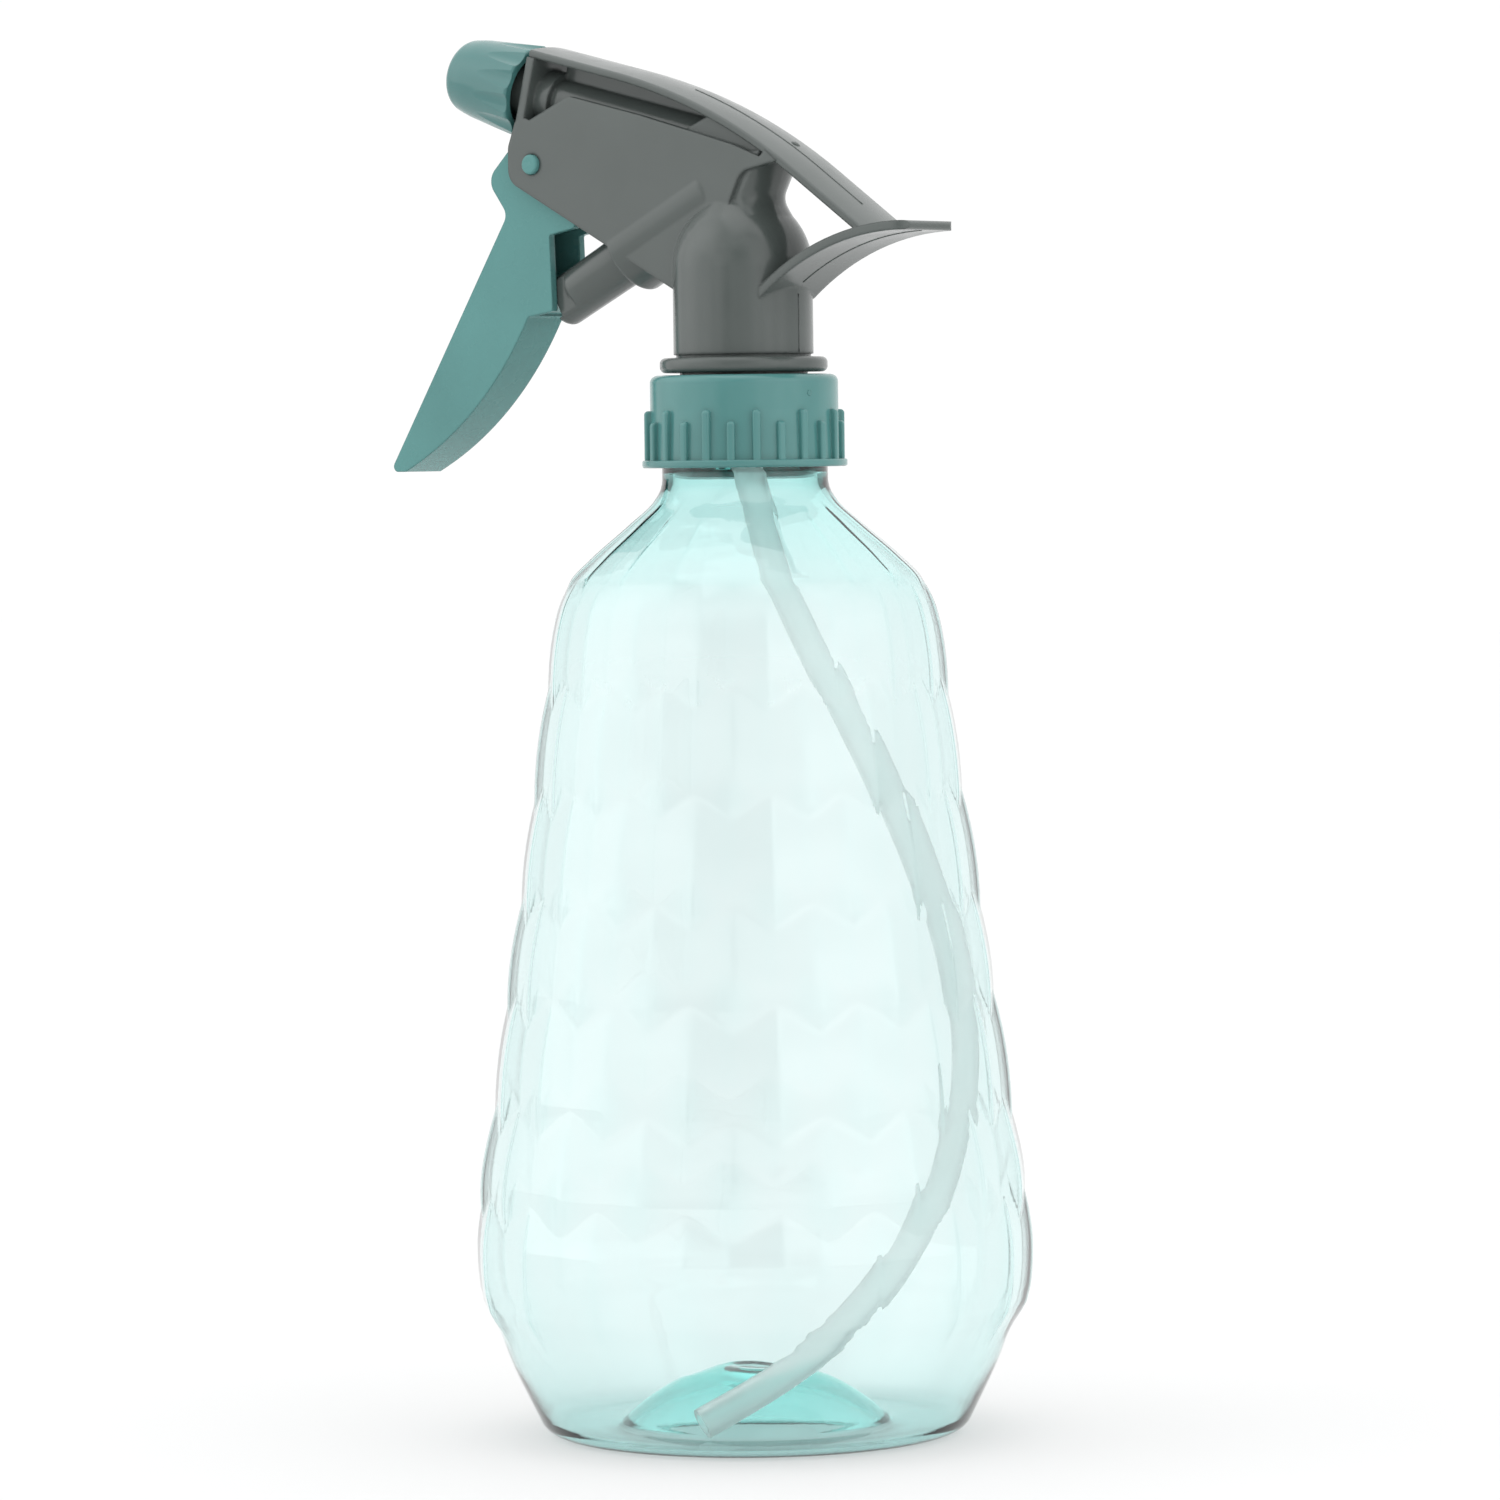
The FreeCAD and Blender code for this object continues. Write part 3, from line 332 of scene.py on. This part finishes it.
def clear_pet():
    """Clear, faintly teal PET. The tint is in the wall itself, so thick walls are darker."""
    shader = Shader("bottle_pet_clear")
    wave = shader.bump(shader.noise(scale=95, detail=2), strength=0.05, distance=0.25 * MM)
    fine = shader.bump(shader.noise(scale=650, detail=2), strength=0.03, distance=0.04 * MM,
                       normal=wave)
    shader.link(fine, shader.principled.inputs["Normal"])
    haze = shader.remap(shader.noise(scale=300, detail=3), 0.0, 0.03)
    shader.link(haze, shader.principled.inputs["Roughness"])
    shader.set(IOR=1.50, Transmission_Weight=1.0)
    shader.principled.inputs["Base Color"].default_value = (0.972, 0.965, 0.966, 1)
    absorb = shader.add("ShaderNodeVolumeAbsorption")
    absorb.inputs["Color"].default_value = (0.0, 0.868, 0.824, 1)
    absorb.inputs["Density"].default_value = 225
    shader.link(absorb.outputs["Volume"], shader.output.inputs["Volume"])
    return shader.material


GREY = (0.083, 0.098, 0.093)
TEAL = (0.068, 0.206, 0.198)
PALE_TEAL = (0.100, 0.268, 0.257)
MATERIALS = {
    "grey": moulded_plastic("grey_plastic_moulded", GREY, 0.19, 0.7 * MM),
    "teal": moulded_plastic("teal_plastic_moulded", PALE_TEAL, 0.26, 0.45 * MM, 0.25),
    "teal_cap": moulded_plastic("teal_cap_moulded", scaled(TEAL, 1.18), 0.20),
    "teal_nozzle": moulded_plastic("teal_nozzle_moulded", scaled(TEAL, 0.92), 0.18),
    "white": natural_plastic("white_plastic_natural", (0.78, 0.78, 0.75), 0.42),
    "rubber": soft_rubber(),
    "spring": drawn_steel("spring_steel_drawn", 0.28, (1, 1, 6)),
    "ball": drawn_steel("valve_ball_polished", 0.12, (1, 1, 1)),
    "tube": milky_tube(),
    "pet": clear_pet(),
}
FINISHES = {
    "closure_cap": "teal_cap", "neck_gasket": "rubber", "stem_connector": "white",
    "stem_o_ring": "rubber", "inlet_ball": "ball", "inlet_ball_retainer": "white",
    "dip_tube": "tube", "sprayer_body": "grey", "trigger": "teal", "piston": "grey",
    "piston_cup_seal": "rubber", "piston_vent_seal": "rubber", "outlet_ball": "ball",
    "outlet_spring_stop": "white", "swirl_insert": "white", "nozzle_o_ring": "rubber",
    "nozzle_gasket": "rubber", "nozzle_cap": "teal_nozzle", "bottle": "pet", "return_spring": "spring",
    "outlet_spring": "spring",
}


def paint_nodes():
    for node, finish in FINISHES.items():
        mesh = frame["nodes"][node].data
        for i in range(max(1, len(mesh.materials))):
            if i < len(mesh.materials):
                mesh.materials[i] = MATERIALS[finish]
            else:
                mesh.materials.append(MATERIALS[finish])


# ---------------------------------------------------------------- mesh helpers

def mesh_piece(name, vertices, faces, material, smooth=True):
    mesh = bpy.data.meshes.new(name)
    mesh.from_pydata([tuple(v) for v in vertices], [], faces)
    mesh.materials.append(material)
    if smooth:
        mesh.shade_smooth()
    mesh.update()
    piece = bpy.data.objects.new(name, mesh)
    bpy.context.scene.collection.objects.link(piece)
    return piece


def tube_mesh(name, path, radius, material, sides):
    """A closed tube along a list of points."""
    vertices = []
    faces = []
    count = len(path)
    side = None
    for i in range(count):
        ahead = path[min(i + 1, count - 1)] - path[max(i - 1, 0)]
        ahead.normalize()
        if side is None:
            side = ahead.orthogonal().normalized()
        side = (side - ahead * side.dot(ahead)).normalized()
        other = ahead.cross(side)
        for k in range(sides):
            turn = 2 * math.pi * k / sides
            vertices.append(path[i] + side * (radius * math.cos(turn))
                            + other * (radius * math.sin(turn)))
    for i in range(count - 1):
        for k in range(sides):
            after = (k + 1) % sides
            faces.append((i * sides + k, i * sides + after,
                          (i + 1) * sides + after, (i + 1) * sides + k))
    faces.append(tuple(reversed(range(sides))))
    faces.append(tuple(range((count - 1) * sides, count * sides)))
    return mesh_piece(name, vertices, faces, material)


# ---------------------------------------------------------------- bottle

def smooth_step(value, low, high):
    t = np.clip((value - low) / (high - low), 0, 1)
    return t * t * (3 - 2 * t)


def through(points, at):
    """A smooth curve through (position, value) points, with no overshoot between them."""
    x = np.array([p[0] for p in points], float)
    y = np.array([p[1] for p in points], float)
    step = np.diff(x)
    rise = np.diff(y) / step
    slope = np.zeros(len(x))
    slope[0] = rise[0]
    slope[-1] = rise[-1]
    for i in range(1, len(x) - 1):
        if rise[i - 1] * rise[i] > 0:
            before = 2 * step[i] + step[i - 1]
            after = step[i] + 2 * step[i - 1]
            slope[i] = (before + after) / (before / rise[i - 1] + after / rise[i])
    k = np.clip(np.searchsorted(x, at) - 1, 0, len(x) - 2)
    h = step[k]
    t = (at - x[k]) / h
    return ((2 * t ** 3 - 3 * t ** 2 + 1) * y[k] + (t ** 3 - 2 * t ** 2 + t) * h * slope[k]
            + (-2 * t ** 3 + 3 * t ** 2) * y[k + 1] + (t ** 3 - t ** 2) * h * slope[k + 1])


def polygon(angle, phase):
    """Radius of a regular polygon of FACETS sides over its apothem; soft ridges are at phase."""
    offset = np.mod(angle - phase, 2 * HALF_FACET) - HALF_FACET
    to_ridge = np.hypot(HALF_FACET - np.abs(offset), RIDGE_SOFTNESS)
    return 1 / np.cos(HALF_FACET - to_ridge)


def step_at(height, low, high):
    """smooth_step for one height."""
    return float(smooth_step(np.array([height]), low, high)[0])


def facet_radius(angle, height):
    """Outside radius at a height: the outermost of the facet rows that reach it, softly joined."""
    base = float(through(OUTLINE, np.array([height]))[0])
    first, last = ROW_HEIGHTS[0], ROW_HEIGHTS[-1]
    top_row = len(ROW_HEIGHTS) - 2
    surfaces = []
    for row in range(top_row + 1):
        low, high = ROW_HEIGHTS[row], ROW_HEIGHTS[row + 1]
        half = LOWEST_HALF_HEIGHT if row == 0 else (high - low) / 2
        along = (height - high + half) / half
        beyond = (row == 0 and along < 0) or (row == top_row and along > 0)
        if abs(along) > ROW_REACH and not beyond:
            continue
        crown = FACET_CROWN * (1 - along * along)
        fade = 1.0
        if beyond:
            crown = max(crown, 0.0)
        if row == 0:
            fade = step_at(height, first - FOOT_FADE, first + FOOT_FADE)
        if row == top_row:
            fade = 1 - step_at(height, last - TOP_FADE_BELOW, last + TOP_FADE_ABOVE)
        phase = FACET_TURN + HALF_FACET * (row % 2)
        surfaces.append((base + crown) * (1 + fade * (polygon(angle, phase) - 1)))
    outermost = np.max(surfaces, axis=0)
    spread = sum(np.exp((surface - outermost) / JOIN_SOFTNESS) for surface in surfaces)
    shoulder = step_at(height, last - SHOULDER_FADE, last + SHOULDER_FADE)
    shoulder *= 1 - step_at(height, *SHOULDER_END)
    facets = base * shoulder * (polygon(angle, FACET_TURN + HALF_FACET) - 1)
    return outermost + JOIN_SOFTNESS * np.log(spread) + facets


def thread_rise(angle, height):
    """Height of the neck thread above its root at an angle and a height."""
    rise = np.zeros(len(angle))
    for turn in (0, 1):
        along = angle / (2 * math.pi) + turn
        centre = THREAD_START + along * THREAD_PITCH
        shape = np.clip(1 - (np.abs(height - centre) - THREAD_CREST) / THREAD_FLANK, 0, 1)
        ends = np.clip(along / THREAD_RUN_OUT, 0, 1)
        ends = ends * np.clip((THREAD_TURNS - along) / THREAD_RUN_OUT, 0, 1)
        rise = np.maximum(rise, THREAD_DEPTH * shape * ends)
    return rise


def wall_thickness(height):
    return float(through(WALL_THICKNESS, np.array([height]))[0])


def column_angles():
    """Angles of the mesh columns, closer together beside each ridge."""
    angles = []
    for i in range(2 * FACETS):
        for share in COLUMN_SHARES:
            angles.append(FACET_TURN + HALF_FACET * (i + share))
    return np.array(angles)


def base_profile():
    """(radius, height, thickness) from the middle of the punt to the heel."""
    dome = (PUNT_RADIUS ** 2 + PUNT_HEIGHT ** 2) / (2 * PUNT_HEIGHT)
    points = []
    for radius in (1.2, 2.6, GATE_RADIUS - 0.5):
        points.append((radius, PUNT_HEIGHT - GATE_DEPTH, GATE_WALL))
    for radius in np.linspace(GATE_RADIUS, PUNT_RADIUS - 0.9, 30):
        height = math.sqrt(dome ** 2 - radius ** 2) - dome + PUNT_HEIGHT
        points.append((radius, height, PUNT_WALL - PUNT_WALL_LOSS * (radius / PUNT_RADIUS) ** 2))
    points += STAND_RING
    heel_height, heel_radius = OUTLINE[0]
    for i in range(1, HEEL_RINGS):
        t = i / HEEL_RINGS
        radius = (1 - t) ** 2 * STAND_RADIUS + 2 * t * (1 - t) * (STAND_RADIUS + HEEL_CORNER)
        height = (1 - t) ** 2 * HEEL_LIFT + t * t * heel_height
        points.append((radius + t * t * heel_radius, height, HEEL_WALL))
    return points


def bottle():
    """The two-walled faceted bottle, with its punt, neck and thread."""
    angles = column_angles()
    columns = len(angles)
    rings = []
    for radius, height, thickness in base_profile():
        rings.append((np.full(columns, radius), height, thickness))
    for start, end, step in BODY_RINGS:
        for height in np.arange(start, end, step):
            rings.append((facet_radius(angles, height), height, wall_thickness(height)))
    radius, height, thickness = NECK_STEP
    rings.append((np.full(columns, radius), height, thickness))
    start, margin, step = NECK_RINGS
    for height in np.arange(start, RIM_HEIGHT - margin, step):
        radius = NECK_ROOT_RADIUS + thread_rise(np.mod(angles, 2 * math.pi), height)
        rings.append((radius, height, NECK_WALL))
    for inset, drop, thickness in RIM_RINGS:
        rings.append((np.full(columns, NECK_ROOT_RADIUS - inset), RIM_HEIGHT - drop, thickness))

    mean = np.array([(ring[0].mean(), ring[1]) for ring in rings])
    tangent = np.gradient(mean, axis=0)
    tangent /= np.linalg.norm(tangent, axis=1)[:, None]
    outward = np.stack([tangent[:, 1], -tangent[:, 0]], axis=1)
    inner = []
    for i, (radius, height, thickness) in enumerate(rings):
        if height >= BORE_START:
            inner.append((np.full(columns, NECK_BORE_RADIUS), height))
            continue
        soft = radius.mean() + INNER_FACETS * (radius - radius.mean())
        inner.append((soft - outward[i, 0] * thickness, height - outward[i, 1] * thickness))

    surface = [(ring[0], ring[1]) for ring in rings] + list(reversed(inner))
    vertices = []
    for radius, height in surface:
        ring = np.stack([radius * np.cos(angles), radius * np.sin(angles),
                         np.full(columns, height)], axis=1) * MM
        vertices.extend(map(tuple, ring))
    faces = []
    for i in range(len(surface) - 1):
        low, high = i * columns, (i + 1) * columns
        for k in range(columns):
            after = (k + 1) % columns
            faces.append((low + k, low + after, high + after, high + k))
    for ring, flip in ((0, True), (len(surface) - 1, False)):
        centre = len(vertices)
        vertices.append((0, 0, surface[ring][1] * MM))
        start = ring * columns
        for k in range(columns):
            after = (k + 1) % columns
            first, second = (after, k) if flip else (k, after)
            faces.append((centre, start + first, start + second))
    piece = mesh_piece("bottle_shell", vertices, faces, MATERIALS["pet"])
    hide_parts("bottle")
    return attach(piece, "bottle")


# ---------------------------------------------------------------- springs

def spring(name, node, origin, axis, low, high, mean_radius, wire_radius, turns):
    """A closed-end compression spring, built once between low and high along the axis; it stands on
    its high end.
    """
    side = axis.orthogonal().normalized()
    other = axis.cross(side)
    length = high - low - 2 * wire_radius
    closed = 0.9
    total = turns + 2 * closed
    path = []
    steps = int(total * 28)
    for i in range(steps + 1):
        turn = total * i / steps
        rise = np.interp(turn, [0, closed, total - closed, total],
                         [0, 2 * wire_radius * closed, length - 2 * wire_radius * closed, length])
        angle = 2 * math.pi * turn
        path.append(origin + axis * ((low + wire_radius + rise) * MM)
                    + (side * math.cos(angle) + other * math.sin(angle)) * (mean_radius * MM))
    piece = tube_mesh(name, path, wire_radius * MM, MATERIALS["spring"], 12)
    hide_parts(node)
    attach(piece, "head")
    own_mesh(piece)
    return piece


# ---------------------------------------------------------------- mould marks

def surface_of(node):
    mesh = frame["nodes"][node].data
    return BVHTree.FromPolygons([v.co for v in mesh.vertices], [p.vertices for p in mesh.polygons])


def cast_line(tree, starts, direction, lift):
    """Points where rays from the starts first meet a surface, raised by lift towards the starts."""
    points = []
    for start in starts:
        hit = tree.ray_cast(start, direction)
        if hit[0] is not None:
            points.append(hit[0] - direction * lift)
    return points


def parting_lines():
    """The mould's parting line on the shroud, the spur and the column, all in the plane y = 0."""
    tree = surface_of("sprayer_body")
    down = Vector((0, 0, -1))
    up = Vector((0, 0, 1))
    lines = {
        "parting_line_shroud": (
            [Vector((x, 0, ABOVE)) * MM for x in np.arange(-9.0, 24.5, 0.8)], down),
        "parting_line_spur": (
            [Vector((x, 0, BELOW)) * MM for x in np.arange(12.0, 35.4, 0.8)], up),
        "parting_line_column": (
            [Vector((OUTSIDE, 0, z)) * MM for z in np.arange(170.9, 180.6, 0.7)], Vector((-1, 0, 0))),
    }
    for name, (starts, direction) in lines.items():
        path = cast_line(tree, starts, direction, -PARTING_SINK * MM)
        piece = tube_mesh(name, path, PARTING_RADIUS * MM, MATERIALS["grey"], 8)
        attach(piece, "head")


def gate_mark(name, node, body, material, start, direction, radius):
    """The small round stub that a moulding's gate leaves: a low dome with a dished top."""
    tree = surface_of(node)
    place, normal = tree.ray_cast(start, direction)[:2]
    if normal.dot(direction) > 0:
        normal = -normal
    side = normal.orthogonal().normalized()
    other = normal.cross(side)
    sides = GATE_SIDES
    vertices = []
    faces = []
    for reach, height in GATE_PROFILE:
        for k in range(sides):
            turn = 2 * math.pi * k / sides
            out = side * math.cos(turn) + other * math.sin(turn)
            vertices.append(place + out * (radius * reach) + normal * (radius * height))
    for i in range(len(GATE_PROFILE) - 1):
        for k in range(sides):
            after = (k + 1) % sides
            faces.append((i * sides + k, i * sides + after,
                          (i + 1) * sides + after, (i + 1) * sides + k))
    faces.append(tuple(range((len(GATE_PROFILE) - 1) * sides, len(GATE_PROFILE) * sides)))
    faces.append(tuple(reversed(range(sides))))
    piece = mesh_piece(name, vertices, faces, material)
    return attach(piece, body)


def gate_marks():
    turn = CAMERA_AZIMUTH - math.pi / 2 + CAP_GATE_TURN
    out = Vector((math.cos(turn), math.sin(turn), 0))
    gate_mark("gate_mark_cap", "closure_cap", "cap", MATERIALS["teal_cap"],
              out * (OUTSIDE * MM) + Vector((0, 0, CAP_GATE_HEIGHT * MM)), -out, CAP_GATE_RADIUS * MM)
    gate_mark("gate_mark_shroud", "sprayer_body", "head", MATERIALS["grey"],
              Vector((9.5, 1.8, ABOVE)) * MM, Vector((0, 0, -1)), SHROUD_GATE_RADIUS * MM)


# ---------------------------------------------------------------- studio

def studio():
    """A white room: pale floor, surround brightest behind, soft glows and one panel above."""
    scene = bpy.context.scene
    scene.view_settings.view_transform = "Standard"
    scene.view_settings.look = "None"

    world = bpy.data.worlds.new("studio_surround")
    world.use_nodes = True
    scene.world = world
    nodes, links = world.node_tree.nodes, world.node_tree.links
    background = nodes["Background"]
    background.inputs["Color"].default_value = (1.0, 1.0, 1.0, 1)
    place = nodes.new("ShaderNodeTexCoord").outputs["Generated"]

    def glow(direction, spread, high):
        """Brightness that rises to high as the view turns towards a direction."""
        along = nodes.new("ShaderNodeVectorMath")
        along.operation = "DOT_PRODUCT"
        along.inputs[1].default_value = direction
        fade = nodes.new("ShaderNodeMapRange")
        fade.interpolation_type = "SMOOTHSTEP"
        fade.inputs["From Min"].default_value, fade.inputs["From Max"].default_value = spread
        fade.inputs["To Min"].default_value, fade.inputs["To Max"].default_value = 0.0, high
        links.new(place, along.inputs[0])
        links.new(along.outputs["Value"], fade.inputs["Value"])
        return fade

    clutter = nodes.new("ShaderNodeTexNoise")
    clutter.inputs["Scale"].default_value = PATCH_SCALE
    clutter.inputs["Detail"].default_value = PATCH_DETAIL
    links.new(place, clutter.inputs["Vector"])
    patches = nodes.new("ShaderNodeMapRange")
    patches.inputs["From Min"].default_value, patches.inputs["From Max"].default_value = PATCH_RANGE
    patches.inputs["To Min"].default_value = SURROUND_FRONT
    patches.inputs["To Max"].default_value = SURROUND_PATCHES
    links.new(clutter.outputs["Fac"], patches.inputs["Value"])

    behind = (-math.sin(CAMERA_AZIMUTH), math.cos(CAMERA_AZIMUTH), BACK_LIFT)
    back = glow(behind, BACK_SPREAD, SURROUND_BACK)
    links.new(patches.outputs["Result"], back.inputs["To Min"])
    total = back.outputs["Result"]
    lights = [(toward(*place_at), DIFFUSER_SPREAD, DIFFUSER_GLOW) for place_at in DIFFUSER_PLACES]
    lights.append(((0, 0, 1), CEILING_SPREAD, CEILING_GLOW))
    for light in lights:
        add = nodes.new("ShaderNodeMath")
        links.new(total, add.inputs[0])
        links.new(glow(*light).outputs["Result"], add.inputs[1])
        total = add.outputs[0]
    links.new(total, background.inputs["Strength"])

    reach = FLOOR_REACH
    shader = Shader("studio_floor_white")
    shader.set(Roughness=0.9, Emission_Strength=FLOOR_BACKLIGHT, Specular_IOR_Level=0.1)
    shader.principled.inputs["Emission Color"].default_value = (1, 1, 1, 1)
    shader.principled.inputs["Base Color"].default_value = (*FLOOR_WHITE, 1)
    corners = [(-reach, -reach, 0), (reach, -reach, 0), (reach, reach, 0), (-reach, reach, 0)]
    floor = mesh_piece("studio_floor", corners, [(0, 1, 2, 3)], shader.material, False)
    floor.location.z = -FLOOR_DROP

    panel("panel_top", toward(*PANEL_PLACE))


def toward(turn, lift):
    """The direction at turn degrees to the right of the camera and lift degrees up."""
    around = CAMERA_AZIMUTH - math.pi / 2 + math.radians(turn)
    up = math.radians(lift)
    return Vector((math.cos(around) * math.cos(up), math.sin(around) * math.cos(up), math.sin(up)))


def panel(name, out):
    """A soft square panel light that faces the object from the direction out."""
    light = bpy.data.lights.new(name, "AREA")
    light.shape = "RECTANGLE"
    light.size = light.size_y = PANEL_SIZE
    light.energy = PANEL_POWER
    lamp = bpy.data.objects.new(name, light)
    lamp.location = Vector((0, 0, PANEL_AIM_HEIGHT)) + out * PANEL_DISTANCE
    lamp.rotation_euler = (-out).to_track_quat("-Z", "Y").to_euler()
    bpy.context.scene.collection.objects.link(lamp)


def camera():
    data = bpy.data.cameras.new("camera")
    data.lens = CAMERA_LENS
    data.sensor_width = CAMERA_SENSOR
    data.clip_start = CAMERA_CLIP
    view = bpy.data.objects.new("camera", data)
    bpy.context.scene.collection.objects.link(view)
    forward = Vector((-math.sin(CAMERA_AZIMUTH), math.cos(CAMERA_AZIMUTH), 0))
    right = Vector((math.cos(CAMERA_AZIMUTH), math.sin(CAMERA_AZIMUTH), 0))
    shift = right * CAMERA_SIDE
    eye = -forward * CAMERA_DISTANCE + Vector((0, 0, CAMERA_HEIGHT)) + shift
    aim = Vector((0, 0, CAMERA_AIM_HEIGHT)) + shift
    look = (aim - eye).normalized()
    turn = look.to_track_quat("-Z", "Y").to_matrix()
    roll = Matrix.Rotation(CAMERA_ROLL, 3, "Z")
    view.matrix_world = Matrix.Translation(eye) @ (turn @ roll).to_4x4()
    bpy.context.scene.camera = view


# ---------------------------------------------------------------- build

paint_nodes()
bottle()
spring("return_spring_coil", "return_spring", PUMP_MOUTH, pump_axis, low=-12.95, high=20.48,
       mean_radius=2.25, wire_radius=0.35, turns=9)
spring("outlet_spring_coil", "outlet_spring", nozzle_rim, nozzle_axis, low=-29.9, high=-22.05,
       mean_radius=1.6, wire_radius=0.3, turns=4)
parting_lines()
gate_marks()
studio()
camera()
